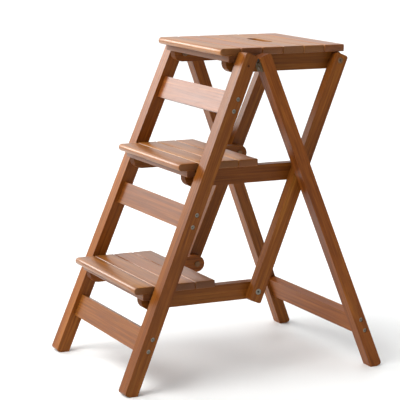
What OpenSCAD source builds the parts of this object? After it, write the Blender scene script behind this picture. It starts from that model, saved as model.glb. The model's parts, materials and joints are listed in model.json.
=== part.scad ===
// Folding wooden step ladder: front frame, rear frame, three slatted steps and two link bars.
// X runs from front to back, Y from the climber's right to the left, Z up from the floor.

/* [Steps] */
// Height of the bottom step's top face
bottom_step_height = 223; // [200:1:250]
// Height of the middle step's top face
middle_step_height = 480; // [455:1:500]
// Height of the platform's top face
platform_height = 720; // [700:1:760]
// Width of a slat in the two lower steps
step_slat_width = 46.5; // [38:0.5:48]
// Width of a slat in the platform
platform_slat_width = 49.5; // [40:0.5:51]
// Thickness of every slat
slat_thickness = 16; // [13:0.5:19]
// Gap between neighbouring slats
slat_gap = 1.5; // [1:0.1:3]
// Slats in each lower step
step_slats = 4; // [3, 4]
// Slats in the platform
platform_slats = 6; // [4, 5, 6]
// How far the first slat reaches in front of the step's pivot
slat_overhang = 48; // [44:0.5:50]
// Radius along a slat's edges
slat_edge_radius = 2; // [1:0.1:3]
// Radius of the rounded front edge of the first slat
nosing_radius = 6; // [3:0.1:6]

/* [Hand slot] */
// Which platform slat has the hand slot, counted from the front
slot_slat = 4; // [3, 4]
// Length of the hand slot
slot_length = 96; // [80:1:120]
// Width of the hand slot
slot_width = 24; // [20:0.5:29]

/* [Rails] */
// Height of a step rail
rail_height = 38; // [34:0.5:44]
// Thickness of a step rail
rail_thickness = 22; // [18:0.5:26]
// Radius of the rail's rounded front lower corner
rail_nose_radius = 20; // [10:0.5:22]
// How far a rail reaches in front of the step's pivot
rail_overhang = 25.5; // [22:0.5:28]
// Depth of a front batten, from front to back
batten_depth = 20; // [14:0.5:20]
// Height of a front batten
batten_height = 14; // [10:0.5:14]
// Distance from the front of the first slat to the batten
batten_setback = 20; // [18:0.5:24]

/* [Front frame] */
// Lean of the front legs from upright, in degrees
front_lean = 22.2; // [20:0.1:23]
// Inward lean of each front leg as it rises, in degrees
front_taper = 1.38; // [0:0.01:1.6]
// Depth of a front leg, seen from the side
front_leg_depth = 30; // [28:0.5:34]
// Thickness of a front leg, across the ladder
front_leg_thickness = 35; // [32:0.5:42]
// Drop from the platform's top face to the front legs' heads
leg_head_drop = 10.8; // [8:0.1:12]
// Width over the front legs at the floor
front_foot_width = 423; // [380:1:500]
// Radius of the rounded corners at the ends of the legs
leg_end_radius = 6; // [2:0.5:8]
// Height of a cross brace, along the legs
brace_height = 50; // [40:0.5:50]
// Thickness of a cross brace
brace_thickness = 18; // [15:0.5:19]
// Distance along the leg from a step's pivot down to the brace's centre line
brace_drop = 87; // [87:0.5:92]
// Distance from the leg's front face to the brace
brace_setback = 10; // [8:0.5:11]

/* [Rear frame] */
// Distance from the rear leg's centre line back to the stay pin that rests in it
stay_pin_setback = 3.9; // [2:0.1:5]
// Inward lean of each rear leg as it rises, in degrees
rear_taper = 2.5; // [1.4:0.01:2.8]
// Depth of a rear leg, seen from the side
rear_leg_depth = 28; // [26:0.5:28]
// Thickness of a rear leg, across the ladder
rear_leg_thickness = 31; // [26:0.5:31]
// Height along the rear leg of the rear brace's centre line
rear_brace_position = 104; // [90:1:130]
// Distance from the rear leg's front face to the rear brace
rear_brace_setback = 8; // [4:0.5:9]

/* [Link bars and pivots] */
// Distance between the two pivots of a step rail
link_pitch = 244.5; // [242:0.5:250]
// Width of a link bar, seen from the side
link_width = 30; // [26:0.5:30]
// Thickness of a link bar
link_thickness = 22; // [18:0.5:22]
// Room between a rail and the front leg beside it
spacer_room = 20; // [18:0.5:22]
// Diameter of the pivot bolts
bolt_diameter = 8; // [6:0.5:8]
// Diameter of the pivot bolts' heads
bolt_head_diameter = 13; // [11:0.5:14]
// Diameter of the spacers on the step pivots
spacer_diameter = 17; // [12:0.5:17]

/* [Hinges] */
// Distance along the front leg from its head down to the hinge axis
hinge_from_head = 6.5; // [4:0.1:9]
// Diameter of the hinge knuckles
knuckle_diameter = 6.4; // [5:0.1:6.4]
// Width of a hinge, across the ladder
hinge_width = 26; // [20:0.5:27]
// Length of a hinge leaf below the axis
leaf_length = 28; // [24:0.5:34]

/* [Hidden] */
$fn = 48;

LEFT = 1;
RIGHT = -1;
SIDES = [LEFT, RIGHT];
BOTTOM = 0;
MIDDLE = 1;
PLATFORM = 2;
STEPS = [BOTTOM, MIDDLE, PLATFORM];

// Clearances
running_gap = 0.05; // between a bolt and the bore that turns on it, on the radius
face_gap = 0.4; // between faces that turn past each other
link_face_gap = 0.8; // between a rail and the tapered link bar beside it
slat_side_gap = 2.5; // between a slat's end and the front leg, with the step folded
hinge_gap = 0.35; // between a knuckle and the wood beside it
stop_gap = 0.5; // between the rear leg's head and the front leg

// Heights of the steps, their pivots and their slats
step_heights = [bottom_step_height, middle_step_height, platform_height];
slat_counts = [step_slats, step_slats, platform_slats];
slat_widths = [step_slat_width, step_slat_width, platform_slat_width];
pivot_drop = slat_thickness + rail_height / 2;
fold_reach = 100; // how far above its own height a folded lower step reaches
function pivot_z(i) = step_heights[i] - pivot_drop;

front_leg_length = (platform_height - leg_head_drop) / cos(front_lean);
hinge_position = front_leg_length - hinge_from_head;

// Side view: the front legs' centre line meets the floor at front_foot_x, the rear legs' at
// rear_foot_x. The middle of the footprint is the origin.
hinge_offset = knuckle_diameter / 2 + hinge_gap;
hinge_rise = hinge_position * cos(front_lean)
    - (front_leg_depth / 2 + hinge_offset) * sin(front_lean);
hinge_run = hinge_position * sin(front_lean)
    + (front_leg_depth / 2 + hinge_offset) * cos(front_lean);
// The rear legs run from the hinge axis past the middle step's stay pins, which sets their lean
stay_from_hinge_x = pivot_z(MIDDLE) * tan(front_lean) + link_pitch - hinge_run;
stay_below_hinge = hinge_rise - pivot_z(MIDDLE);
rear_lean = acos((rear_leg_depth / 2 + hinge_offset + stay_pin_setback)
    / norm([stay_from_hinge_x, stay_below_hinge])) - atan2(stay_below_hinge, stay_from_hinge_x);
foot_span = hinge_run + (rear_leg_depth / 2 + hinge_offset) / cos(rear_lean)
    + hinge_rise * tan(rear_lean);
function foot_reach(depth, lean) =
    depth / 2 * cos(lean) - leg_end_radius * (cos(lean) + sin(lean) - 1);
front_foot_x = (foot_reach(front_leg_depth, front_lean)
    - foot_reach(rear_leg_depth, rear_lean) - foot_span) / 2;
rear_foot_x = front_foot_x + foot_span;
hinge_x = front_foot_x + hinge_run;
hinge_z = hinge_rise;
function pivot_x(i) = front_foot_x + pivot_z(i) * tan(front_lean);
function pivot_along(i) = pivot_z(i) / cos(front_lean);

// Across the ladder: half widths at a height z
front_slope = tan(front_taper) / cos(front_lean);
front_thickness_across = front_leg_thickness / cos(front_taper);
function front_outer(z) = front_foot_width / 2 - z * front_slope;
function front_inner(z) = front_outer(z) - front_thickness_across;
rear_slope = tan(rear_taper) / cos(rear_lean);
rear_thickness_across = rear_leg_thickness / cos(rear_taper);
rear_foot_half = front_outer(hinge_z) + hinge_z * rear_slope;
function rear_outer(z) = rear_foot_half - z * rear_slope;
function rear_inner(z) = rear_outer(z) - rear_thickness_across;
function rail_outer(i) = front_inner(pivot_z(i)) - spacer_room;
function rail_inner(i) = rail_outer(i) - rail_thickness;
link_foot_inner = front_inner(0) - spacer_room + link_face_gap;
link_thickness_across = link_thickness / cos(front_taper);
function link_inner(z) = link_foot_inner - z * front_slope;
function link_outer(z) = link_inner(z) + link_thickness_across;
front_head_z = front_leg_length * cos(front_lean);
function slat_half(i) =
    front_inner(min(step_heights[i] + fold_reach, front_head_z)) - slat_side_gap;

// Lengths along the legs and link bars
rear_head_overshoot = 4.5; // rear leg above the hinge axis
rear_axis_along = hinge_z / cos(rear_lean)
    + (rear_leg_depth / 2 + hinge_offset) * tan(rear_lean);
rear_leg_length = rear_axis_along + rear_head_overshoot;
link_tail = 24; // link bar below its lowest pivot
link_head = 14; // link bar above its highest pivot
link_end_radius = 5.5;

// Fasteners
bolt_radius = bolt_diameter / 2;
bolt_head_radius = bolt_head_diameter / 2;
bolt_head_height = 4;
bolt_depth_in_leg = 24;
hex_key_radius = bolt_radius * 0.72;
hex_key_depth = 2.2;
head_recess = 5; // depth of the pocket for a bolt's head in a link bar
head_room = 0.4; // around a bolt's head in its pocket
cap_height = 3; // cap nut on the inner end of a link bolt
plug_radius = 3;
plug_depth = 8;
brace_screw_radius = 2.5;
brace_screw_head_radius = 5;
brace_screw_head_height = 3;
brace_screw_recess = 5;
brace_screw_grip = 30; // length of screw in the brace's end
brace_screw_offset = 13.5;
slat_screw_radius = 2;
slat_screw_head_radius = 4;
slat_screw_head_height = 3;
slat_screw_recess = 12; // depth of the pocket in the rail's lower face
slat_screw_bite = 10; // length of screw in the slat
batten_screw_offset = 70; // of the first slat's screws, from the middle of the ladder

// Stay pins: the middle step's rear pivots, which hook into the rear legs
stay_slot_depth = 10;
stay_pin_end_gap = 1;
stay_slot_room = 0.6; // around the pin in its slot
stay_exit_angle = 39.5; // of the slot, above square to the rear leg
stay_collar_thickness = 3;
stay_collar_radius = 7.5;

wood = "#9a5a2c";
wood_light = "#b87a48";
wood_dark = "#7a4523";
steel = "#8f9296";
dark_steel = "#55565a";
brass = "#9c8a62";

// ---------- shapes ----------

// Rectangle with rounded corners, centred on the origin
module rounded_rect(width, height, radius) {
    square([width - 2 * radius, height], center = true);
    square([width, height - 2 * radius], center = true);
    for (x = [-1, 1], y = [-1, 1])
        translate([x * (width / 2 - radius), y * (height / 2 - radius)]) circle(radius);
}

// Bar whose side view is a rounded rectangle: it stands on z = 0 and its faces are at
// x = -width/2, x = width/2, y = 0 and y = side * thickness
module bar(width, length, thickness, radius, side) {
    translate([0, side > 0 ? thickness : 0, length / 2])
        rotate([90, 0, 0]) linear_extrude(thickness) rounded_rect(width, length, radius);
}

// Cylinder along Y between y1 and y2 at a place in the side view
module rod(x, z, y1, y2, radius) {
    translate([x, max(y1, y2), z]) rotate([90, 0, 0]) cylinder(r = radius, h = abs(y2 - y1));
}

// The plane of the front frame: local x is square to the legs and points back, z runs up them
module front_plane() {
    translate([front_foot_x, 0, 0]) rotate([0, front_lean, 0]) children();
}

module rear_plane() {
    translate([rear_foot_x, 0, 0]) rotate([0, -rear_lean, 0]) children();
}

// Everything below the floor
module below_floor() {
    translate([-1000, -1000, -100]) cube([2000, 2000, 100]);
}

// Hexagonal socket in a bolt's head, along Y, with its mouth at y
module hex_socket(x, z, y) {
    translate([x, y + hex_key_depth, z]) rotate([90, 0, 0])
        cylinder(r = hex_key_radius, h = 2 * hex_key_depth, $fn = 6);
}

// ---------- front frame ----------

function brace_along(i) = pivot_along(i) - brace_drop;
function front_half_along(s) = front_foot_width / 2 - front_thickness_across - s * tan(front_taper);

module front_leg(side) {
    color(wood) difference() {
        front_plane() translate([0, side * front_foot_width / 2, 0])
            rotate([side * front_taper, 0, 0])
                bar(front_leg_depth, front_leg_length, front_leg_thickness, leg_end_radius, -side);
        below_floor();
        for (i = STEPS)
            rod(pivot_x(i), pivot_z(i), side * (front_inner(pivot_z(i)) - 5),
                side * (front_inner(pivot_z(i)) + bolt_depth_in_leg), bolt_radius);
        rod(pivot_x(PLATFORM), pivot_z(PLATFORM), side * (front_outer(pivot_z(PLATFORM)) - plug_depth),
            side * (front_outer(pivot_z(PLATFORM)) + 5), plug_radius);
        for (i = STEPS) front_plane() brace_screw_holes(i, side);
        front_plane() hinge_screw_holes(1, side);
    }
}

// Where the screws of brace i sit along the front legs
function brace_screw_along(i) = [for (d = [-1, 1]) brace_along(i) + d * brace_screw_offset];
function brace_screw_seat(s) =
    front_half_along(s) + front_thickness_across - brace_screw_recess;

module brace_screw_holes(i, side) {
    for (s = brace_screw_along(i)) {
        rod(brace_middle_x, s, side * (front_half_along(s) - brace_screw_grip),
            side * (brace_screw_seat(s) + 20), brace_screw_radius);
        rod(brace_middle_x, s, side * brace_screw_seat(s), side * (brace_screw_seat(s) + 20),
            brace_screw_head_radius);
    }
}

brace_middle_x = -front_leg_depth / 2 + brace_setback + brace_thickness / 2;

module front_brace(i) {
    low = brace_along(i) - brace_height / 2;
    high = brace_along(i) + brace_height / 2;
    color(wood_light) front_plane() difference() {
        translate([brace_middle_x - brace_thickness / 2, 0, 0]) rotate([90, 0, 90])
            linear_extrude(brace_thickness) polygon([
                [-front_half_along(low), low], [front_half_along(low), low],
                [front_half_along(high), high], [-front_half_along(high), high]]);
        for (side = SIDES) brace_screw_holes(i, side);
    }
}

module front_brace_screws() {
    color(steel) front_plane() for (i = STEPS, side = SIDES, s = brace_screw_along(i))
        brace_screw(brace_middle_x, s, side, brace_screw_seat(s),
            front_half_along(s) - brace_screw_grip);
}

// Screw along Y: its head's inner face is at seat and its tip at tip
module brace_screw(x, z, side, seat, tip) {
    difference() {
        union() {
            rod(x, z, side * tip, side * (seat + 0.1), brace_screw_radius);
            rod(x, z, side * seat, side * (seat + brace_screw_head_height),
                brace_screw_head_radius);
        }
        cross_recess(x, z, side * (seat + brace_screw_head_height));
    }
}

// Cross-shaped driver recess centred on y
module cross_recess(x, z, y) {
    for (turn = [0, 90]) translate([x, y, z]) rotate([0, turn + 45, 0])
        cube([5, 3, 1.1], center = true);
}

// ---------- rear frame ----------

function rear_half_along(s) = rear_foot_half - rear_thickness_across - s * tan(rear_taper);
rear_brace_middle_x = -rear_leg_depth / 2 + rear_brace_setback + brace_thickness / 2;
rear_screw_along = [for (d = [-1, 1]) rear_brace_position + d * brace_screw_offset];
function rear_screw_seat(s) = rear_half_along(s) + rear_thickness_across - brace_screw_recess;

module rear_leg(side) {
    color(wood) difference() {
        rear_plane() translate([0, side * rear_foot_half, 0]) rotate([side * rear_taper, 0, 0])
            bar(rear_leg_depth, rear_leg_length, rear_leg_thickness, leg_end_radius, -side);
        below_floor();
        front_leg_room();
        stay_slot(side);
        rear_plane() rear_screw_holes(side);
        rear_plane() hinge_screw_holes(-1, side);
    }
}

// The space in front of the rear leg's head, so that it clears the front leg's back face
module front_leg_room() {
    front_plane() translate([-200, -500, hinge_position - 100])
        cube([200 + front_leg_depth / 2 + stop_gap, 1000, 300]);
}

module rear_screw_holes(side) {
    for (s = rear_screw_along) {
        rod(rear_brace_middle_x, s, side * (rear_half_along(s) - brace_screw_grip),
            side * (rear_screw_seat(s) + 20), brace_screw_radius);
        rod(rear_brace_middle_x, s, side * rear_screw_seat(s), side * (rear_screw_seat(s) + 20),
            brace_screw_head_radius);
    }
}

module rear_brace() {
    low = rear_brace_position - brace_height / 2;
    high = rear_brace_position + brace_height / 2;
    color(wood_light) rear_plane() difference() {
        translate([rear_brace_middle_x - brace_thickness / 2, 0, 0]) rotate([90, 0, 90])
            linear_extrude(brace_thickness) polygon([
                [-rear_half_along(low), low], [rear_half_along(low), low],
                [rear_half_along(high), high], [-rear_half_along(high), high]]);
        for (side = SIDES) rear_screw_holes(side);
    }
}

module rear_brace_screws() {
    color(steel) rear_plane() for (side = SIDES, s = rear_screw_along)
        brace_screw(rear_brace_middle_x, s, side, rear_screw_seat(s),
            rear_half_along(s) - brace_screw_grip);
}

// Slot in the rear leg's inner face: it holds the stay pin and opens through the back face
module stay_slot(side) {
    x = pivot_x(MIDDLE) + link_pitch;
    z = pivot_z(MIDDLE);
    reach = rear_inner(z) + stay_slot_depth;
    radius = bolt_radius + stay_slot_room;
    translate([x, side > 0 ? reach : 40 - reach, z]) rotate([90, 0, 0]) linear_extrude(40) {
        rotate(rear_lean + stay_exit_angle) {
            circle(radius);
            translate([0, -radius]) square([60, 2 * radius]);
        }
    }
}

// ---------- hinges ----------

hinge_outer = front_outer(hinge_z) - 3; // outer end of the hinge
hinge_inner = hinge_outer - hinge_width;
leaf_thickness = 2;
knuckle_radius = knuckle_diameter / 2;
hinge_pin_radius = 1.6;
knuckle_joint_gap = 0.3;
hinge_screw_radius = 1.6;
hinge_screw_head_radius = 3.2;
hinge_screw_head_height = 0.8;
hinge_screw_length = 12;
// Screws of one leaf: [distance below the axis, distance from the hinge's middle]
hinge_screw_places = [[11, -6.5], [11, 6.5], [21, 0]];

// Local place of the hinge axis: facing 1 is the front leg's back face, -1 the rear leg's front
function face_x(facing) = facing * (facing > 0 ? front_leg_depth : rear_leg_depth) / 2;
function axis_x(facing) = face_x(facing) + facing * hinge_offset;
function axis_along(facing) = facing > 0 ? hinge_position : rear_axis_along;

module hinge_screw_holes(facing, side) {
    for (place = hinge_screw_places)
        hinge_screw_shank(facing, side, place, hinge_screw_radius);
}

module hinge_screw_shank(facing, side, place, radius) {
    translate([face_x(facing) + facing * leaf_thickness,
            side * ((hinge_inner + hinge_outer) / 2 + place[1]), axis_along(facing) - place[0]])
        rotate([0, -90 * facing, 0]) cylinder(r = radius, h = hinge_screw_length);
}

// Leaves on one frame. The front leaves carry the two end knuckles, the rear the middle one.
module hinge_leaves(facing) {
    third = hinge_width / 3;
    ends = [[hinge_inner, hinge_inner + third - knuckle_joint_gap / 2],
        [hinge_outer - third + knuckle_joint_gap / 2, hinge_outer]];
    middle = [[hinge_inner + third + knuckle_joint_gap / 2, hinge_outer - third - knuckle_joint_gap / 2]];
    spans = facing > 0 ? ends : middle;
    color(facing > 0 ? dark_steel : brass) for (side = SIDES) difference() {
        union() {
            leaf_plate(facing, side, [[hinge_inner, hinge_outer]], -leaf_length, -knuckle_radius - 0.8);
            leaf_plate(facing, side, spans, -knuckle_radius - 1.8, 0);
            for (span = spans)
                rod(axis_x(facing), axis_along(facing), side * span[0], side * span[1],
                    knuckle_radius);
        }
        rod(axis_x(facing), axis_along(facing), side * (hinge_inner - 1), side * (hinge_outer + 1),
            hinge_pin_radius + (facing > 0 ? 0 : running_gap));
        hinge_screw_holes(facing, side);
    }
}

module leaf_plate(facing, side, spans, low, high) {
    for (span = spans) translate([
            facing > 0 ? face_x(facing) : face_x(facing) - leaf_thickness,
            side > 0 ? span[0] : -span[1], axis_along(facing) + low])
        cube([leaf_thickness, span[1] - span[0], high - low]);
}

module hinge_pins() {
    color(dark_steel) front_plane() for (side = SIDES)
        rod(axis_x(1), axis_along(1), side * hinge_inner, side * hinge_outer, hinge_pin_radius);
}

module hinge_screws(facing) {
    color(steel) for (side = SIDES, place = hinge_screw_places) {
        hinge_screw_shank(facing, side, place, hinge_screw_radius);
        translate([face_x(facing) + facing * leaf_thickness,
                side * ((hinge_inner + hinge_outer) / 2 + place[1]),
                axis_along(facing) - place[0]])
            rotate([0, 90 * facing, 0])
                cylinder(r = hinge_screw_head_radius, h = hinge_screw_head_height);
    }
}

// ---------- pivots ----------

// Bolts on which the steps turn: head inside the rail, end in the front leg
module step_pivot_bolts() {
    color(steel) for (i = STEPS, side = SIDES) {
        head = rail_inner(i) - face_gap;
        difference() {
            union() {
                rod(pivot_x(i), pivot_z(i), side * (head - 0.1),
                    side * (front_inner(pivot_z(i)) + bolt_depth_in_leg), bolt_radius);
                rod(pivot_x(i), pivot_z(i), side * (head - bolt_head_height), side * head,
                    bolt_head_radius);
            }
            hex_socket(pivot_x(i), pivot_z(i), side * (head - bolt_head_height));
        }
    }
}

// Turned wooden spacers between the rails and the front legs
module step_pivot_spacers() {
    color(wood_dark) for (i = STEPS, side = SIDES) difference() {
        rod(pivot_x(i), pivot_z(i), side * (rail_outer(i) + face_gap),
            side * (front_inner(pivot_z(i)) + 2), spacer_diameter / 2);
        rod(pivot_x(i), pivot_z(i), side * (rail_outer(i) - 1),
            side * (front_inner(pivot_z(i)) + 5), bolt_radius);
        front_plane() translate([0, side * (front_foot_width / 2 - front_thickness_across), 0])
            rotate([side * front_taper, 0, 0])
                translate([-50, side > 0 ? 0 : -60, 0]) cube([100, 60, front_leg_length]);
    }
}

// Wooden plugs in the outer faces of the front legs, over the platform's pivots
module pivot_plugs() {
    z = pivot_z(PLATFORM);
    color(wood_dark) for (side = SIDES)
        rod(pivot_x(PLATFORM), z, side * (front_outer(z) - plug_depth), side * front_outer(z),
            plug_radius);
}

// ---------- link bars ----------

module link_bar(side) {
    low = pivot_along(BOTTOM) - link_tail;
    length = pivot_along(PLATFORM) + link_head - low;
    color(wood) difference() {
        translate([link_pitch, 0, 0]) front_plane() translate([0, side * link_foot_inner, 0])
            rotate([side * front_taper, 0, 0]) translate([0, 0, low])
                bar(link_width, length, link_thickness, link_end_radius, side);
        for (i = STEPS) {
            z = pivot_z(i);
            rod(pivot_x(i) + link_pitch, z, side * (link_inner(z) - 10),
                side * (link_outer(z) + 10), bolt_radius + running_gap);
        }
        for (i = [BOTTOM, PLATFORM]) {
            z = pivot_z(i);
            rod(pivot_x(i) + link_pitch, z, side * (link_outer(z) - head_recess),
                side * (link_outer(z) + 10), bolt_head_radius + head_room);
        }
    }
}

// Bolts of the bottom or top link pivots: head in the link bar, cap nut inside the rail
module link_bolts(i) {
    x = pivot_x(i) + link_pitch;
    z = pivot_z(i);
    seat = link_outer(z) - head_recess + face_gap;
    color(steel) for (side = SIDES) difference() {
        union() {
            rod(x, z, side * (rail_inner(i) - 0.1), side * (seat + 0.1), bolt_radius);
            rod(x, z, side * seat, side * (seat + bolt_head_height), bolt_head_radius);
            rod(x, z, side * (rail_inner(i) - cap_height), side * rail_inner(i), bolt_head_radius);
        }
        hex_socket(x, z, side * (seat + bolt_head_height));
    }
}

// Stay pins: rear pivots of the middle step, long enough to hook into the rear legs
module middle_stay_pins() {
    x = pivot_x(MIDDLE) + link_pitch;
    z = pivot_z(MIDDLE);
    collar = link_outer(z) + face_gap + link_face_gap;
    color(steel) for (side = SIDES) {
        rod(x, z, side * (rail_inner(MIDDLE) - 0.1),
            side * (rear_inner(z) + stay_slot_depth - stay_pin_end_gap), bolt_radius);
        rod(x, z, side * collar, side * (collar + stay_collar_thickness), stay_collar_radius);
        rod(x, z, side * (rail_inner(MIDDLE) - cap_height), side * rail_inner(MIDDLE),
            bolt_head_radius);
    }
}

// ---------- steps ----------

function slat_front(i, n) = pivot_x(i) - slat_overhang + (n - 1) * (slat_widths[i] + slat_gap);
function slat_middle(i, n) = slat_front(i, n) + slat_widths[i] / 2;
function slat_bottom(i) = step_heights[i] - slat_thickness;

// Side view of a slat
module slat_profile(width) {
    translate([width / 2, slat_thickness / 2]) rounded_rect(width, slat_thickness, slat_edge_radius);
}

// Side view of the first slat, with its rounded nosing
module nosed_profile(width) {
    r = nosing_radius;
    translate([r, 0]) square([width - 2 * slat_edge_radius - r, slat_thickness]);
    translate([0, r]) square([width / 2, slat_thickness - 2 * r]);
    for (z = [r, slat_thickness - r]) translate([r, z]) circle(r);
    translate([width / 2, 0]) slat_back(width / 2);
}

// Back half of a slat's side view
module slat_back(width) {
    r = slat_edge_radius;
    square([width - r, slat_thickness]);
    translate([0, r]) square([width, slat_thickness - 2 * r]);
    for (z = [r, slat_thickness - r]) translate([width - r, z]) circle(r);
}

module slat(i, n) {
    half = slat_half(i);
    color(wood_light) difference() {
        translate([slat_front(i, n), half, slat_bottom(i)]) rotate([90, 0, 0])
            linear_extrude(2 * half) {
                if (n == 1) nosed_profile(slat_widths[i]);
                else slat_profile(slat_widths[i]);
            }
        for (side = SIDES) slat_screw_hole(i, n, side);
        if (i == PLATFORM && n == slot_slat) hand_slot();
    }
}

// Rounded hole for the hand, right through one slat
module hand_slot() {
    x = slat_middle(PLATFORM, slot_slat);
    straight = slot_length - slot_width;
    low = slat_bottom(PLATFORM) - 5;
    translate([x - slot_width / 2, -straight / 2, low])
        cube([slot_width, straight, slat_thickness + 10]);
    for (side = SIDES) translate([x, side * straight / 2, low])
        cylinder(r = slot_width / 2, h = slat_thickness + 10);
}

function batten_front(i) = pivot_x(i) - slat_overhang + batten_setback;

// Slat screws come from below. The first slat's pass through the batten, the others' through
// the rails. seat is the height of the head's upper face.
function rail_middle(i) = rail_outer(i) - rail_thickness / 2;
function slat_screw_x(i, n) = n == 1 ? batten_front(i) + batten_depth / 2 : slat_middle(i, n);
function slat_screw_y(i, n) = n == 1 ? batten_screw_offset : rail_middle(i);
function slat_screw_foot(i, n) = slat_bottom(i) - (n == 1 ? batten_height : rail_height);
function slat_screw_seat(i, n) =
    slat_screw_foot(i, n) + (n == 1 ? slat_screw_head_height : slat_screw_recess);

module slat_screw_hole(i, n, side) {
    foot = slat_screw_foot(i, n);
    seat = slat_screw_seat(i, n);
    translate([slat_screw_x(i, n), side * slat_screw_y(i, n), foot - 1]) {
        cylinder(r = slat_screw_radius, h = slat_bottom(i) + slat_screw_bite - foot + 1);
        cylinder(r = slat_screw_head_radius, h = seat - foot + 1);
    }
}

module slat_screws(i) {
    color(steel) for (n = [1 : slat_counts[i]], side = SIDES) {
        seat = slat_screw_seat(i, n);
        translate([slat_screw_x(i, n), side * slat_screw_y(i, n), 0]) {
            translate([0, 0, seat - 0.1])
                cylinder(r = slat_screw_radius, h = slat_bottom(i) + slat_screw_bite - seat + 0.1);
            translate([0, 0, seat - slat_screw_head_height])
                cylinder(r = slat_screw_head_radius, h = slat_screw_head_height);
        }
    }
}

module batten(i) {
    half = slat_half(i);
    color(wood) difference() {
        translate([batten_front(i), -half, slat_bottom(i) - batten_height])
            cube([batten_depth, 2 * half, batten_height]);
        for (side = SIDES) slat_screw_hole(i, 1, side);
    }
}

module rail_profile(i) {
    nose = rail_nose_radius;
    front = -rail_overhang;
    half = rail_height / 2;
    difference() {
        union() {
            translate([front + nose, -half]) square([link_pitch - front - nose, rail_height]);
            translate([front, nose - half]) square([nose, rail_height - nose]);
            intersection() {
                translate([front + nose, nose - half]) circle(nose);
                translate([front, -half]) square([2 * nose, rail_height]);
            }
            translate([link_pitch, 0]) circle(half);
        }
        translate([-100, half - batten_height])
            square([100 - slat_overhang + batten_setback + batten_depth, 100]);
    }
}

module rail(i, side) {
    color(wood) difference() {
        translate([pivot_x(i), side > 0 ? rail_outer(i) : -rail_inner(i), pivot_z(i)])
            rotate([90, 0, 0]) linear_extrude(rail_thickness) rail_profile(i);
        rod(pivot_x(i), pivot_z(i), side * (rail_inner(i) - 1), side * (rail_outer(i) + 1),
            bolt_radius + running_gap);
        rod(pivot_x(i) + link_pitch, pivot_z(i), side * (rail_inner(i) - 1),
            side * (rail_outer(i) + 1), bolt_radius);
        for (n = [2 : slat_counts[i]]) slat_screw_hole(i, n, side);
    }
}

// ---------- nodes ----------

front_leg(LEFT);  // front_leg_left
front_leg(RIGHT);  // front_leg_right
front_brace(BOTTOM);  // front_brace_lower
front_brace(MIDDLE);  // front_brace_middle
front_brace(PLATFORM);  // front_brace_upper
front_brace_screws();
rear_leg(LEFT);  // rear_leg_left
rear_leg(RIGHT);  // rear_leg_right
rear_brace();
rear_brace_screws();
front_plane() hinge_leaves(1);  // hinge_leaves_front
rear_plane() hinge_leaves(-1);  // hinge_leaves_rear
hinge_pins();
front_plane() hinge_screws(1);  // hinge_screws_front
rear_plane() hinge_screws(-1);  // hinge_screws_rear
step_pivot_bolts();
step_pivot_spacers();
pivot_plugs();
link_bar(LEFT);  // link_bar_left
link_bar(RIGHT);  // link_bar_right
rail(BOTTOM, LEFT);  // bottom_rail_left
rail(BOTTOM, RIGHT);  // bottom_rail_right
batten(BOTTOM);  // bottom_batten
slat(BOTTOM, 1);  // bottom_slat_1
slat(BOTTOM, 2);  // bottom_slat_2
slat(BOTTOM, 3);  // bottom_slat_3
slat(BOTTOM, 4);  // bottom_slat_4
slat_screws(BOTTOM);  // bottom_slat_screws
link_bolts(BOTTOM);  // bottom_link_bolts
rail(MIDDLE, LEFT);  // middle_rail_left
rail(MIDDLE, RIGHT);  // middle_rail_right
batten(MIDDLE);  // middle_batten
slat(MIDDLE, 1);  // middle_slat_1
slat(MIDDLE, 2);  // middle_slat_2
slat(MIDDLE, 3);  // middle_slat_3
slat(MIDDLE, 4);  // middle_slat_4
slat_screws(MIDDLE);  // middle_slat_screws
middle_stay_pins();
rail(PLATFORM, LEFT);  // platform_rail_left
rail(PLATFORM, RIGHT);  // platform_rail_right
batten(PLATFORM);  // platform_batten
slat(PLATFORM, 1);  // platform_slat_1
slat(PLATFORM, 2);  // platform_slat_2
slat(PLATFORM, 3);  // platform_slat_3
slat(PLATFORM, 4);  // platform_slat_4
slat(PLATFORM, 5);  // platform_slat_5
slat(PLATFORM, 6);  // platform_slat_6
slat_screws(PLATFORM);  // platform_slat_screws
link_bolts(PLATFORM);  // platform_link_bolts
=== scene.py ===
"""Folding wooden step ladder: stained hardwood boards with eased edges, plated bolts and
screws, and small butt hinges, on a pale studio floor.

Metres throughout, in the part's own frame: X from front to back, Y across, Z up.
"""

import json
import math

import bmesh
import bpy
import numpy as np
from mathutils import Matrix, Vector

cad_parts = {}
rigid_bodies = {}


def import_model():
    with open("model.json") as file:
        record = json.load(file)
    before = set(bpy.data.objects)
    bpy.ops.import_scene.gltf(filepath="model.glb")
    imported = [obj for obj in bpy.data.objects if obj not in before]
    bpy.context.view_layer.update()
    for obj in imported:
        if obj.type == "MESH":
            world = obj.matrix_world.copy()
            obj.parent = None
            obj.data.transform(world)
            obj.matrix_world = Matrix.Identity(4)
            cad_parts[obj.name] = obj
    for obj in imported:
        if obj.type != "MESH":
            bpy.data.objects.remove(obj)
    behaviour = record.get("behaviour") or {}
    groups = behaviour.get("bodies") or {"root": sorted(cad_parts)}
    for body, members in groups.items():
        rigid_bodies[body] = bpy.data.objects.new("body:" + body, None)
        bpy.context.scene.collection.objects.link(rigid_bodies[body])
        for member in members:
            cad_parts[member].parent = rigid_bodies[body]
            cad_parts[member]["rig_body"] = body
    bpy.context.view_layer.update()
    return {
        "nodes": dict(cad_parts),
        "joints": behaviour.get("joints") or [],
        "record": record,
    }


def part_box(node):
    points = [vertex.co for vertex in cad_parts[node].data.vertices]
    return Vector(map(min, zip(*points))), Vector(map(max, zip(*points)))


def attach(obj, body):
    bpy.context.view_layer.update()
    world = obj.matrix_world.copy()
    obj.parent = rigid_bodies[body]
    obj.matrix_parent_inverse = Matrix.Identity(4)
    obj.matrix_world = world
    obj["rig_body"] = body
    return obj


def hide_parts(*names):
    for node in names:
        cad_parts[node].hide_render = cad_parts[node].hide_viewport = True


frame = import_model()

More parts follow.
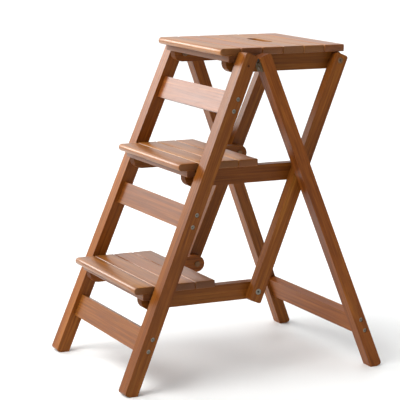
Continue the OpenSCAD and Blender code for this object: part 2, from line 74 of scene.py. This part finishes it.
NODES = frame["nodes"]
BODY_OF = {n: o["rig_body"] for n, o in NODES.items()}
SLOT_OF = {p["node"]: p["material_slot"] for p in frame["record"]["subparts"]}
JOINT = {j["name"]: j for j in frame["joints"]}
STEPS = ("bottom", "middle", "platform")
SLATS = {step: sum(n.startswith(step + "_slat_") and n[-1].isdigit() for n in NODES)
         for step in STEPS}
SLOTTED_SLAT = "platform_slat_4"
MERGE_DISTANCE = 2e-6  # corners nearer than this are one
FLAT_ANGLE = 0.6  # degrees, between triangles of one flat face


def joint_place(name):
    """Where a joint's axis crosses the ladder's middle plane."""
    return Vector(JOINT[name]["pos_m"])


def lean_between(low, high):
    """Angle from upright of the line between two points, in the side view."""
    return math.atan2(high.x - low.x, high.z - low.z)


FRONT_LEAN = lean_between(joint_place("bottom_step_fold"), joint_place("platform_fold"))
REAR_LEAN = -math.radians(21.5)  # the rear legs lean the other way


# ---------- boards worked out on a grid ----------


def corner_arcs(half, radii, arc_steps=5):
    """Outlines of rectangles with rounded corners, of shape (stations, around, 2).

    Each corner is a quarter circle of its own radius: centre + radius * (cos a, sin a), with a
    running through 90 degrees. half holds half of each width and height, and radii the back
    top, front top, front bottom and back bottom corners at each station.
    """
    signs = np.array([[1, 1], [-1, 1], [-1, -1], [1, -1]], float)
    centres = signs * (half[:, None, :] - radii[:, :, None])
    angles = np.arange(4)[:, None] * np.pi / 2 + np.linspace(0, np.pi / 2, arc_steps)
    turn = np.stack([np.cos(angles), np.sin(angles)], axis=-1)
    points = centres[:, :, None, :] + radii[:, :, None, None] * turn
    return points.reshape(len(half), -1, 2)


def closed_grid(name, rings):
    """Mesh from rings of shape (stations, around, 3): quads join neighbours along and around,
    and one flat face closes each end."""
    stations, around = rings.shape[:2]
    index = np.arange(stations * around).reshape(stations, around)
    ahead = np.roll(index, -1, axis=1)
    quads = np.stack([index[:-1], ahead[:-1], ahead[1:], index[1:]], axis=-1).reshape(-1, 4)
    faces = quads.tolist() + [index[0][::-1].tolist(), index[-1].tolist()]
    mesh = bpy.data.meshes.new(name)
    mesh.from_pydata(rings.reshape(-1, 3).tolist(), [], faces)
    bm = bmesh.new()
    bm.from_mesh(mesh)
    bmesh.ops.recalc_face_normals(bm, faces=bm.faces)
    bm.to_mesh(mesh)
    bm.free()
    return mesh


def eased_stations(half_length, ease, steps=4):
    """Places along a board and how far its section is drawn in there.

    Towards each end the section follows a quarter circle: at angle a it lies
    ease * (1 - sin a) short of the end and is drawn in by ease * (1 - cos a).
    """
    a = np.linspace(0, np.pi / 2, steps)
    out = half_length - ease * (1 - np.sin(a))
    inset = ease * (1 - np.cos(a))
    middle = np.linspace(-half_length + ease, half_length - ease, 9)[1:-1]
    places = np.concatenate([-out[::-1], middle, out])
    drawn_in = np.concatenate([inset[::-1], np.zeros(len(middle)), inset])
    return places, drawn_in


def cross_board(name, lo, hi, radii, ease, crown=0.0):
    """A board across the ladder, between its corners lo and hi, as rings of its rounded section
    carried along Y.

    Towards the ends the section and its radii are drawn in together, to no less than an eighth
    of ease. The top falls by crown * (2x / width)^2 towards its long edges.
    """
    lo, hi = np.array(lo, float), np.array(hi, float)
    half = (hi - lo) / 2
    places, drawn_in = eased_stations(half[1], ease)
    inset = drawn_in[:, None]
    section = corner_arcs(half[[0, 2]] - inset, np.maximum(np.array(radii) - inset, 0.12 * ease))
    x, z = section[..., 0], section[..., 1]
    z = z - crown * (x / half[0]) ** 2 * (z > 0)
    across = np.broadcast_to(places[:, None], x.shape)
    return closed_grid(name, np.stack([x, across, z], axis=-1) + (hi + lo) / 2)


# ---------- pieces taken over from the part, with eased edges ----------


def merged_mesh(node, name, flat_angle=0.0):
    """A copy of the node's mesh with its doubled corners merged. Faces that lie within
    flat_angle degrees of each other are joined, if it is given."""
    bm = bmesh.new()
    bm.from_mesh(NODES[node].data)
    bmesh.ops.remove_doubles(bm, verts=bm.verts, dist=MERGE_DISTANCE)
    if flat_angle:
        bmesh.ops.dissolve_limit(bm, angle_limit=math.radians(flat_angle), verts=bm.verts,
                                 edges=bm.edges)
    mesh = bpy.data.meshes.new(name)
    bm.to_mesh(mesh)
    bm.free()
    return mesh


def eased_copy(node, radius, segments=2, angle=28.0):
    """The node's own shape with its flat faces joined and its sharp edges rounded."""
    name = node + "_eased"
    piece = bpy.data.objects.new(name, merged_mesh(node, name, FLAT_ANGLE))
    bevel = piece.modifiers.new("ease", "BEVEL")
    bevel.width = radius
    bevel.segments = segments
    bevel.limit_method = "ANGLE"
    bevel.angle_limit = math.radians(angle)
    bevel.harden_normals = False
    bevel.use_clamp_overlap = True
    return piece


def place_piece(piece, node, material, smooth_angle=32.0):
    """Stands the piece in for its node, on the node's body, with its finish."""
    if piece.name not in bpy.context.scene.collection.objects:
        bpy.context.scene.collection.objects.link(piece)
    piece.data.materials.clear()
    piece.data.materials.append(material)
    mesh = piece.data
    mesh.polygons.foreach_set("use_smooth", np.ones(len(mesh.polygons), bool))
    if not piece.modifiers:
        mesh.set_sharp_from_angle(angle=math.radians(smooth_angle))
    else:
        weighted = piece.modifiers.new("normals", "WEIGHTED_NORMAL")
        weighted.keep_sharp = True
    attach(piece, BODY_OF[node])
    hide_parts(node)
    return piece


# ---------- finishes ----------


class Finish:
    """Adds nodes to a material's tree in few words."""

    def __init__(self, name):
        self.material = bpy.data.materials.new(name)
        self.material.use_nodes = True
        self.tree = self.material.node_tree
        self.tree.nodes.clear()
        self.output = self.tree.nodes.new("ShaderNodeOutputMaterial")
        self.shader = self.tree.nodes.new("ShaderNodeBsdfPrincipled")
        self.join(self.shader.outputs["BSDF"], self.output.inputs["Surface"])

    def join(self, a, b):
        self.tree.links.new(a, b)

    def place(self, rotation=(0, 0, 0), offset=(0, 0, 0), what="Object"):
        """The piece's own coordinates, or its surface's direction, turned and moved."""
        coords = self.tree.nodes.new("ShaderNodeTexCoord")
        mapping = self.tree.nodes.new("ShaderNodeMapping")
        mapping.inputs["Rotation"].default_value = rotation
        mapping.inputs["Location"].default_value = offset
        self.join(coords.outputs[what], mapping.inputs["Vector"])
        return mapping.outputs["Vector"]

    def stretch(self, vector, scale):
        node = self.tree.nodes.new("ShaderNodeVectorMath")
        node.operation = "MULTIPLY"
        node.inputs[1].default_value = scale
        self.join(vector, node.inputs[0])
        return node.outputs["Vector"]

    def length(self, vector):
        node = self.tree.nodes.new("ShaderNodeVectorMath")
        node.operation = "LENGTH"
        self.join(vector, node.inputs[0])
        return node.outputs["Value"]

    def noise(self, vector, detail=3.0, roughness=0.5, distortion=0.0):
        node = self.tree.nodes.new("ShaderNodeTexNoise")
        node.inputs["Scale"].default_value = 1.0
        node.inputs["Detail"].default_value = detail
        node.inputs["Roughness"].default_value = roughness
        node.inputs["Distortion"].default_value = distortion
        self.join(vector, node.inputs["Vector"])
        return node.outputs["Fac"]

    def math(self, operation, a, b=0.0, clamp=False):
        node = self.tree.nodes.new("ShaderNodeMath")
        node.operation = operation
        node.use_clamp = clamp
        for socket, value in zip(node.inputs, (a, b)):
            if isinstance(value, (int, float)):
                socket.default_value = value
            else:
                self.join(value, socket)
        return node.outputs["Value"]

    def ramp(self, value, stops, smooth=False):
        node = self.tree.nodes.new("ShaderNodeValToRGB")
        if smooth:
            node.color_ramp.interpolation = "EASE"
        elements = node.color_ramp.elements
        while len(elements) < len(stops):
            elements.new(0.5)
        for element, (place, colour) in zip(elements, stops):
            element.position = place
            element.color = (*colour, 1.0) if len(colour) == 3 else colour
        self.join(value, node.inputs["Fac"])
        return node.outputs["Color"]

    def mix(self, factor, a, b, blend="MIX"):
        node = self.tree.nodes.new("ShaderNodeMix")
        node.data_type = "RGBA"
        node.blend_type = blend
        for socket, value in ((node.inputs[0], factor), (node.inputs[6], a), (node.inputs[7], b)):
            if isinstance(value, (int, float)):
                socket.default_value = value
            elif isinstance(value, tuple):
                socket.default_value = (*value, 1.0)
            else:
                self.join(value, socket)
        return node.outputs[2]

    def bump(self, height, strength, distance, under=None):
        node = self.tree.nodes.new("ShaderNodeBump")
        node.inputs["Strength"].default_value = strength
        node.inputs["Distance"].default_value = distance
        self.join(height, node.inputs["Height"])
        if under is not None:
            self.join(under, node.inputs["Normal"])
        return node.outputs["Normal"]

    def set(self, **values):
        for name, value in values.items():
            self.shader.inputs[name.replace("_", " ")].default_value = value


def grey(v):
    """A colour with no hue."""
    return (v, v, v)


def stained_wood(name, turn, seed, tone=1.0, warmth=0.0, coat=0.03, gloss=0.13, painted_sheen_lift=1.0):
    """Stained straight-grained hardwood under satin lacquer, with its grain along local Z.

    turn brings the board's length onto Z. Growth rings are sin(frequency * distance from a
    pith line beside the board), bent by a long slow noise; fibres and pores are noises drawn
    out along the grain. Where the surface faces along the grain it is darker, soaked end
    grain. painted_sheen_lift lifts the green part of the stain, for a yellower board: on the
    slats it is painted sheen, the paleness that light gives their glossy tops.
    """
    f = Finish(name)
    rng = np.random.default_rng(seed)
    shift = rng.uniform(-3, 3, 3)
    board = f.place(turn, tuple(shift))
    slow = f.noise(f.stretch(board, (7.0, 7.0, 0.9)), detail=2.0)
    cloudy = f.noise(f.stretch(board, (24.0, 24.0, 2.4)), detail=2.0, roughness=0.5)
    pith = f.place(turn, tuple(rng.uniform(0.05, 0.11, 2) * rng.choice([-1, 1], 2)) + (0.0,))
    bent = f.math("MULTIPLY", f.math("SUBTRACT", slow, 0.5), 0.075)
    reach = f.math("ADD", f.length(f.stretch(pith, (1.0, 1.0, 0.0))), bent)
    wave = f.math("SINE", f.math("MULTIPLY", reach, 900.0))
    ring = f.math("ADD", f.math("MULTIPLY", wave, 0.5), 0.5)
    fibre = f.noise(f.stretch(board, (330.0, 330.0, 7.0)), detail=4.0, roughness=0.6)
    streak = f.noise(f.stretch(board, (150.0, 150.0, 2.4)), detail=4.0, roughness=0.62)
    pore = f.noise(f.stretch(board, (900.0, 900.0, 28.0)), detail=2.0, roughness=0.5)
    dark = (0.098 * tone, (0.0235 + 0.002 * warmth) * painted_sheen_lift * tone, 0.0035 * tone)
    middle = (0.230 * tone, (0.0675 + 0.005 * warmth) * painted_sheen_lift * tone, 0.0090 * tone)
    light = (0.375 * tone, (0.142 + 0.010 * warmth) * painted_sheen_lift * tone, 0.022 * tone)
    depth = f.math("ADD", f.math("MULTIPLY", cloudy, 0.36),
                   f.math("MULTIPLY", streak, 0.64))
    colour = f.ramp(depth, [(0.21, dark), (0.50, middle), (0.80, light)])
    latewood = f.mix(1.0, colour, (0.60, 0.50, 0.45), "MULTIPLY")
    colour = f.mix(f.math("MULTIPLY", ring, 0.17), colour, latewood)
    colour = f.mix(1.0, colour, f.ramp(fibre, [(0.30, grey(0.76)), (0.70, grey(1.20))]), "MULTIPLY")
    pits = f.ramp(pore, [(0.60, grey(0.0)), (0.70, grey(1.0))])
    colour = f.mix(f.math("MULTIPLY", pits, 0.42), colour, dark)
    along = f.tree.nodes.new("ShaderNodeSeparateXYZ")
    f.join(f.place(turn, what="Normal"), along.inputs[0])
    end = f.ramp(f.math("ABSOLUTE", along.outputs["Z"]), [(0.70, grey(0.0)), (0.95, grey(1.0))])
    soaked = tuple(0.45 * a + 0.30 * b for a, b in zip(dark, middle))
    colour = f.mix(f.math("MULTIPLY", end, 0.9), colour, soaked)
    f.join(colour, f.shader.inputs["Base Color"])
    rough = f.math("ADD", f.math("MULTIPLY", cloudy, 0.16), 0.30)
    rough = f.math("ADD", f.math("MULTIPLY", end, 0.35), rough)
    f.join(rough, f.shader.inputs["Roughness"])
    height = f.math("SUBTRACT", f.math("MULTIPLY", fibre, 0.6), f.math("MULTIPLY", pits, 0.8))
    f.join(f.bump(height, 0.25, 0.00035), f.shader.inputs["Normal"])
    f.set(Coat_Weight=coat, Coat_Roughness=0.2, IOR=1.5, Specular_IOR_Level=gloss)
    return f.material


def plated_steel(name, colour=(0.29, 0.262, 0.215), roughness=0.36, seed=1, dull=0.25,
                 bronzed_within=0.0):
    """Plated steel: fine brushing, cloudy dulling of the plating and a few darker specks.
    Nearer than bronzed_within to the ladder's middle plane it is bronzed instead."""
    f = Finish(name)
    place = f.place((0.3, 0.2, 0.1), (seed * 0.37, 0.1, 0.2))
    brush = f.noise(f.stretch(place, (2600.0, 300.0, 2600.0)), detail=2.0)
    cloud = f.noise(f.stretch(place, (160.0, 160.0, 160.0)), detail=3.0, roughness=0.6)
    speck = f.ramp(f.noise(f.stretch(place, (700.0, 700.0, 700.0)), detail=2.0),
                   [(0.62, grey(0.0)), (0.74, grey(1.0))])
    dim = tuple(c * (1 - dull) for c in colour)
    tint = f.mix(cloud, dim, colour)
    tint = f.mix(f.math("MULTIPLY", speck, 0.35), tint, tuple(c * 0.35 for c in colour))
    if bronzed_within:
        apart = f.tree.nodes.new("ShaderNodeSeparateXYZ")
        f.join(f.place(), apart.inputs[0])
        inner = f.math("LESS_THAN", f.math("ABSOLUTE", apart.outputs["Y"]), bronzed_within)
        bronze = f.mix(cloud, (0.13, 0.070, 0.036), (0.24, 0.135, 0.072))
        tint = f.mix(inner, tint, bronze)
    f.join(tint, f.shader.inputs["Base Color"])
    rough = f.math("ADD", f.math("MULTIPLY", cloud, 0.22), roughness)
    f.join(rough, f.shader.inputs["Roughness"])
    f.join(f.bump(brush, 0.12, 0.00004), f.shader.inputs["Normal"])
    f.set(Metallic=1.0)
    return f.material


def blackened_steel(name):
    """Darkened steel: almost black, worn to bare metal in patches."""
    f = Finish(name)
    place = f.place((0.1, 0.4, 0.2), (0.2, 0.3, 0.1))
    patch = f.noise(f.stretch(place, (260.0, 260.0, 260.0)), detail=4.0, roughness=0.65)
    worn = f.ramp(patch, [(0.52, grey(0.0)), (0.68, grey(1.0))])
    f.join(f.mix(worn, (0.055, 0.050, 0.045), (0.30, 0.27, 0.23)), f.shader.inputs["Base Color"])
    f.join(f.math("SUBTRACT", 0.52, f.math("MULTIPLY", worn, 0.2)), f.shader.inputs["Roughness"])
    f.join(f.bump(patch, 0.2, 0.0001), f.shader.inputs["Normal"])
    f.set(Metallic=0.85)
    return f.material


# Turns that bring each kind of board's length onto local Z
UP_FRONT = (0.0, -FRONT_LEAN, 0.0)
UP_REAR = (0.0, -REAR_LEAN, 0.0)
ACROSS = (math.radians(90), 0.0, 0.0)
ALONG = (0.0, math.radians(-90), 0.0)


# How the slats, which feet and hands polish, differ from the rest: a thicker coat, more gloss,
# and a green lift of the stain that paints in the pale sheen of their tops
SLAT_LACQUER_AND_SHEEN = {"coat": 0.12, "gloss": 0.50, "painted_sheen_lift": 1.13}
# Part of a board's name, the turn of its grain, its tone and what else sets it apart
CUTS = (
    ("front_leg", UP_FRONT, 0.97, {"gloss": 0.15}),
    ("link_bar", UP_FRONT, 0.95, {}),
    ("rear_leg", UP_REAR, 1.00, {}),
    ("_rail_", ALONG, 0.90, {}),
    # The slats' tones are painted light: paler than the legs for the sheen on their tops, and paler
    # upwards, as light and sheen grow with height
    ("bottom_slat", ACROSS, 1.12, SLAT_LACQUER_AND_SHEEN),
    ("middle_slat", ACROSS, 1.36, SLAT_LACQUER_AND_SHEEN),
    ("platform_slat", ACROSS, 1.40, SLAT_LACQUER_AND_SHEEN),
    ("rear_brace", ACROSS, 1.25, {}),
    ("front_brace", ACROSS, 0.93, {"coat": 0.05, "gloss": 0.34}),
    ("_batten", ACROSS, 0.93, {"coat": 0.05, "gloss": 0.34}),
)


def wood_for(node, seed):
    """Each board has its own cut of the same stained wood, a little paler or warmer."""
    rng = np.random.default_rng(seed + 40)
    shade = float(rng.uniform(0.90, 1.10))
    warm = float(rng.uniform(-1.0, 1.0))
    turn, tone, other = next(cut[1:] for cut in CUTS if cut[0] in node)
    return stained_wood("wood_" + node, turn, seed, tone * shade, warm, **other)


# ---------- the ladder's pieces ----------

# Radii of the edges, in metres
NOSING = 0.0075
SLAT_EDGE = 0.0026
SLAT_END = 0.0016
SLAT_CROWN = 0.0002  # how far a slat's top falls towards its long edges
BATTEN_EDGE = 0.0012
BATTEN_END = 0.001
LEG_EDGE = 0.0026
RAIL_EDGE = 0.0014
BRACE_EDGE = 0.0016
TURNED_EDGE = 0.0006
METAL_EDGE = 0.00035
METAL_ANGLE = 35.0  # metal edges sharper than this many degrees are rounded
CROSS_ARM = 0.0025  # across each arm of a screw's cross recess
CROSS_REACH, CROSS_DEPTH = 0.0024, 0.00055
SOCKET_REACH, SOCKET_DEPTH = 0.0028, 0.0022  # a bolt's six-sided recess
PLATE_THICKNESS = 0.0002  # of the dark plate of painted shade in a recess
PLATE_RISE = 0.00015  # of its face above the recess's own floor
SAME_FACE = 0.0003  # corners this near the end of a bolt are on its head's face
NUT_SIDE = 0.145  # nearer the middle plane than this, a link bolt is its nut


def make_slat(step, number, seed):
    """A slat with rounded edges; the first of a step has a deeper nosing at its front."""
    node = f"{step}_slat_{number}"
    material = wood_for(node, seed)
    if node == SLOTTED_SLAT:
        return place_piece(eased_copy(node, SLAT_END, 3), node, material)
    lo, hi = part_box(node)
    front = NOSING if number == 1 else SLAT_EDGE
    mesh = cross_board(node + "_board", lo, hi, (SLAT_EDGE, front, front, SLAT_EDGE), SLAT_END,
                       crown=SLAT_CROWN)
    return place_piece(bpy.data.objects.new(node + "_board", mesh), node, material)


def make_wood():
    """Every wooden piece, each with its own cut of the wood."""
    seed = 1
    for step in STEPS:
        for number in range(1, SLATS[step] + 1):
            make_slat(step, number, seed)
            seed += 1
        batten = f"{step}_batten"
        lo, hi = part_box(batten)
        mesh = cross_board(batten + "_board", lo, hi, (BATTEN_EDGE,) * 4, BATTEN_END)
        place_piece(bpy.data.objects.new(batten + "_board", mesh), batten, wood_for(batten, seed))
        seed += 1
        for side in ("left", "right"):
            node = f"{step}_rail_{side}"
            place_piece(eased_copy(node, RAIL_EDGE), node, wood_for(node, seed))
            seed += 1
    for node in ("front_leg_left", "front_leg_right", "rear_leg_left", "rear_leg_right",
                 "link_bar_left", "link_bar_right"):
        place_piece(eased_copy(node, LEG_EDGE, 3), node, wood_for(node, seed))
        seed += 1
    for node in ("front_brace_lower", "front_brace_middle", "front_brace_upper", "rear_brace"):
        place_piece(eased_copy(node, BRACE_EDGE), node, wood_for(node, seed))
        seed += 1
    for node in ("step_pivot_spacers", "pivot_plugs"):
        turned = stained_wood("turned_" + node, ACROSS, seed, 0.62, 0.0)
        place_piece(eased_copy(node, TURNED_EDGE), node, turned)
        seed += 1


def separate_solids(node):
    """The corner points of each separate solid of a node.

    Every corner starts with its own number, and each pass gives both ends of every edge the
    lower of their numbers, until none changes: what is joined then shares one number.
    """
    mesh = merged_mesh(node, "joined")
    points = np.empty(len(mesh.vertices) * 3)
    mesh.vertices.foreach_get("co", points)
    points = points.reshape(-1, 3)
    edges = np.empty(len(mesh.edges) * 2, np.int64)
    mesh.edges.foreach_get("vertices", edges)
    edges = edges.reshape(-1, 2)
    bpy.data.meshes.remove(mesh)
    label = np.arange(len(points))
    while True:
        lowest = label[edges].min(axis=1)
        new = label.copy()
        np.minimum.at(new, edges[:, 0], lowest)
        np.minimum.at(new, edges[:, 1], lowest)
        if (new == label).all():
            break
        label = new
    return [points[label == k] for k in np.unique(label)]


def recess_shade_plate(name, centre, radius, arms, side, lean):
    """A thin dark plate of painted shade on the floor of a driver recess, in the plane across Y.

    With six arms its outline is a hexagon, whose corners lie radius out every 60 degrees. With
    four arms it is a cross, turned by 45 degrees: each quarter turn has a corner of one arm's
    end, the inner corner between two arms and a corner of the next arm's end.
    """
    if arms == 6:
        a = np.arange(6) * np.pi / 3
        reach = np.full(6, radius)
    else:
        half = CROSS_ARM / 2
        corner = np.arctan2(half, radius)
        a = np.array([corner, np.pi / 4, np.pi / 2 - corner])
        a = (a[None, :] + np.arange(4)[:, None] * np.pi / 2).ravel() + np.pi / 4
        reach = np.tile([np.hypot(radius, half), half * 2 ** 0.5, np.hypot(radius, half)], 4)
    ring = np.stack([reach * np.cos(a), np.zeros(len(a)), reach * np.sin(a)], axis=-1)
    turn = np.array(Matrix.Rotation(lean, 3, "Y"))
    front = ring @ turn.T + centre
    back = front - np.array([0, side * PLATE_THICKNESS, 0])
    return closed_grid(name, np.array([back, front]))


def join_meshes(name, meshes):
    """One mesh from several, their points and faces in turn."""
    bm = bmesh.new()
    for mesh in meshes:
        bm.from_mesh(mesh)
        bpy.data.meshes.remove(mesh)
    joined = bpy.data.meshes.new(name)
    bm.to_mesh(joined)
    bm.free()
    return joined


def add_recess_shade_plates(node, finish, arms, radius, depth, outward=1, lean=0.0):
    """Dark plates of painted shade on the floors of the driver recesses of a node's bolts or
    screws. outward is 1 where the heads face away from the ladder's middle and -1 where they
    face it."""
    plates = []
    for k, points in enumerate(separate_solids(node)):
        side = 1.0 if points[:, 1].mean() > 0 else -1.0
        face = side * outward
        end = points[np.argmax(points[:, 1] * face)][1]
        head = points[np.abs(points[:, 1] - end) < SAME_FACE]
        centre = (head.max(axis=0) + head.min(axis=0)) / 2
        centre[1] = end - face * (depth - PLATE_RISE)
        plates.append(recess_shade_plate(f"plate_{k}", centre, radius, arms, face, lean))
    name = node + "_recess_floors"
    piece = bpy.data.objects.new(name, join_meshes(name, plates))
    bpy.context.scene.collection.objects.link(piece)
    piece.data.materials.append(finish)
    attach(piece, BODY_OF[node])


def make_metal():
    """Every bolt, screw, pin and hinge leaf, and the dark plates of painted shade on the floors of
    their recesses.
    """
    zinc = plated_steel("zinc_plate")
    dark = blackened_steel("blackened_steel")
    link = plated_steel("zinc_plate_and_bronzed_nuts", seed=2, bronzed_within=NUT_SIDE)
    copper = plated_steel("bronzed_steel", (0.26, 0.155, 0.090), 0.40, 4, 0.35)
    brass = plated_steel("dulled_brass", (0.22, 0.165, 0.085), 0.46, 3, 0.45)
    own = {"bottom_link_bolts": link, "platform_link_bolts": copper, "middle_stay_pins": link,
           "step_pivot_bolts": copper}
    finishes = {"zinc_steel": zinc, "dark_steel": dark, "brassed_steel": brass}
    for node, kind in SLOT_OF.items():
        if kind in finishes:
            finish = own.get(node, finishes[kind])
            place_piece(eased_copy(node, METAL_EDGE, 2, METAL_ANGLE), node, finish)
    # Painted shade: dark plates on the floors of the bolt and screw recesses, which lie in shadow
    painted_recess_shade = blackened_steel("recess_shadow")
    cross, socket = (4, CROSS_REACH, CROSS_DEPTH), (6, SOCKET_REACH, SOCKET_DEPTH)
    add_recess_shade_plates("front_brace_screws", painted_recess_shade, *cross, lean=FRONT_LEAN)
    add_recess_shade_plates("rear_brace_screws", painted_recess_shade, *cross, lean=REAR_LEAN)
    for step in ("bottom", "platform"):
        add_recess_shade_plates(step + "_link_bolts", painted_recess_shade, *socket)
    add_recess_shade_plates("step_pivot_bolts", painted_recess_shade, *socket, outward=-1)


make_wood()
make_metal()


# ---------- floor, light and camera ----------


def studio():
    """A wide pale floor, bright walls, a soft key light from above the front and a soft box
    behind the left, which the fronts of the boards reflect."""
    size = 14.0
    mesh = bpy.data.meshes.new("floor")
    mesh.from_pydata([(-size, -size, 0), (size, -size, 0), (size, size, 0), (-size, size, 0)],
                     [], [(0, 1, 2, 3)])
    floor = bpy.data.objects.new("floor", mesh)
    bpy.context.scene.collection.objects.link(floor)
    f = Finish("pale_floor")
    f.set(Base_Color=(0.86, 0.88, 0.888, 1.0), Roughness=0.55)
    floor.data.materials.append(f.material)
    world = bpy.data.worlds.new("studio")
    bpy.context.scene.world = world
    world.use_nodes = True
    light_from_around(world.node_tree)
    sun = bpy.data.lights.new("key", "SUN")
    sun.energy = 2.85
    sun.angle = math.radians(46)
    sun.color = (1.0, 0.985, 0.96)
    lamp = bpy.data.objects.new("key", sun)
    lamp.rotation_euler = Vector((0.62, 0.10, -0.80)).to_track_quat("-Z", "Y").to_euler()
    bpy.context.scene.collection.objects.link(lamp)
    soft_box("back_left", (-1.55, 3.2, 1.80), (0.0, 0.0, 0.60), 1.4, 1.3, 58)


def light_from_around(tree):
    """White walls that are bright behind the ladder, dim in front of it and dimmer low down.
    Seen directly they are plain white, as the floor is."""
    tree.nodes.clear()
    add = tree.nodes.new
    coords, parts = add("ShaderNodeTexCoord"), add("ShaderNodeSeparateXYZ")
    ramp, rise, both = add("ShaderNodeMapRange"), add("ShaderNodeMapRange"), add("ShaderNodeMath")
    around, seen = add("ShaderNodeBackground"), add("ShaderNodeBackground")
    path, mix, output = add("ShaderNodeLightPath"), add("ShaderNodeMixShader"), add("ShaderNodeOutputWorld")
    both.operation = "MULTIPLY"
    for node, limits in ((ramp, (-0.5, 0.8, 0.24, 1.15)), (rise, (-0.02, 0.34, 0.44, 1.12))):
        node.interpolation_type = "SMOOTHSTEP"
        for name, value in zip(("From Min", "From Max", "To Min", "To Max"), limits):
            node.inputs[name].default_value = value
    for a, b in ((coords.outputs["Generated"], parts.inputs[0]), (parts.outputs["Y"], ramp.inputs[0]),
                 (parts.outputs["Z"], rise.inputs[0]), (ramp.outputs[0], both.inputs[0]),
                 (rise.outputs[0], both.inputs[1]), (both.outputs[0], around.inputs["Strength"]),
                 (path.outputs["Is Camera Ray"], mix.inputs[0]),
                 (around.outputs[0], mix.inputs[1]), (seen.outputs[0], mix.inputs[2]),
                 (mix.outputs[0], output.inputs[0])):
        tree.links.new(a, b)
    around.inputs["Color"].default_value = (1.0, 1.0, 1.0, 1.0)
    seen.inputs["Color"].default_value = (1.0, 1.0, 1.0, 1.0)


def soft_box(name, place, aim, width, height, power, colour=(1.0, 0.985, 0.96)):
    """A rectangle of light at a place, turned to face the point that it is aimed at."""
    light = bpy.data.lights.new(name, "AREA")
    light.shape = "RECTANGLE"
    light.size, light.size_y = width, height
    light.energy = power
    light.color = colour
    lamp = bpy.data.objects.new(name, light)
    lamp.location = place
    lamp.rotation_euler = (Vector(aim) - Vector(place)).to_track_quat("-Z", "Y").to_euler()
    bpy.context.scene.collection.objects.link(lamp)


def set_camera():
    """Looks along +Y, turned 26.3 degrees to the right and 10.5 down, with a slight roll."""
    yaw, pitch, roll = (math.radians(v) for v in (26.316, 10.478, 0.429))
    ahead = Vector((math.sin(yaw) * math.cos(pitch), math.cos(yaw) * math.cos(pitch),
                    -math.sin(pitch)))
    right = Vector((math.cos(yaw), -math.sin(yaw), 0.0))
    up = right.cross(ahead)
    across = right * math.cos(roll) + up * math.sin(roll)
    above = up * math.cos(roll) - right * math.sin(roll)
    camera = bpy.data.objects.new("camera", bpy.data.cameras.new("camera"))
    camera.data.lens = 149.8
    camera.data.sensor_width = 36.0
    turn = Matrix((across, above, -ahead)).transposed()
    camera.matrix_world = Matrix.Translation((-1.660, -3.286, 1.0446)) @ turn.to_4x4()
    camera.data.clip_end = 100.0
    bpy.context.scene.collection.objects.link(camera)
    bpy.context.scene.camera = camera


studio()
set_camera()
bpy.context.scene.view_settings.view_transform = "Standard"
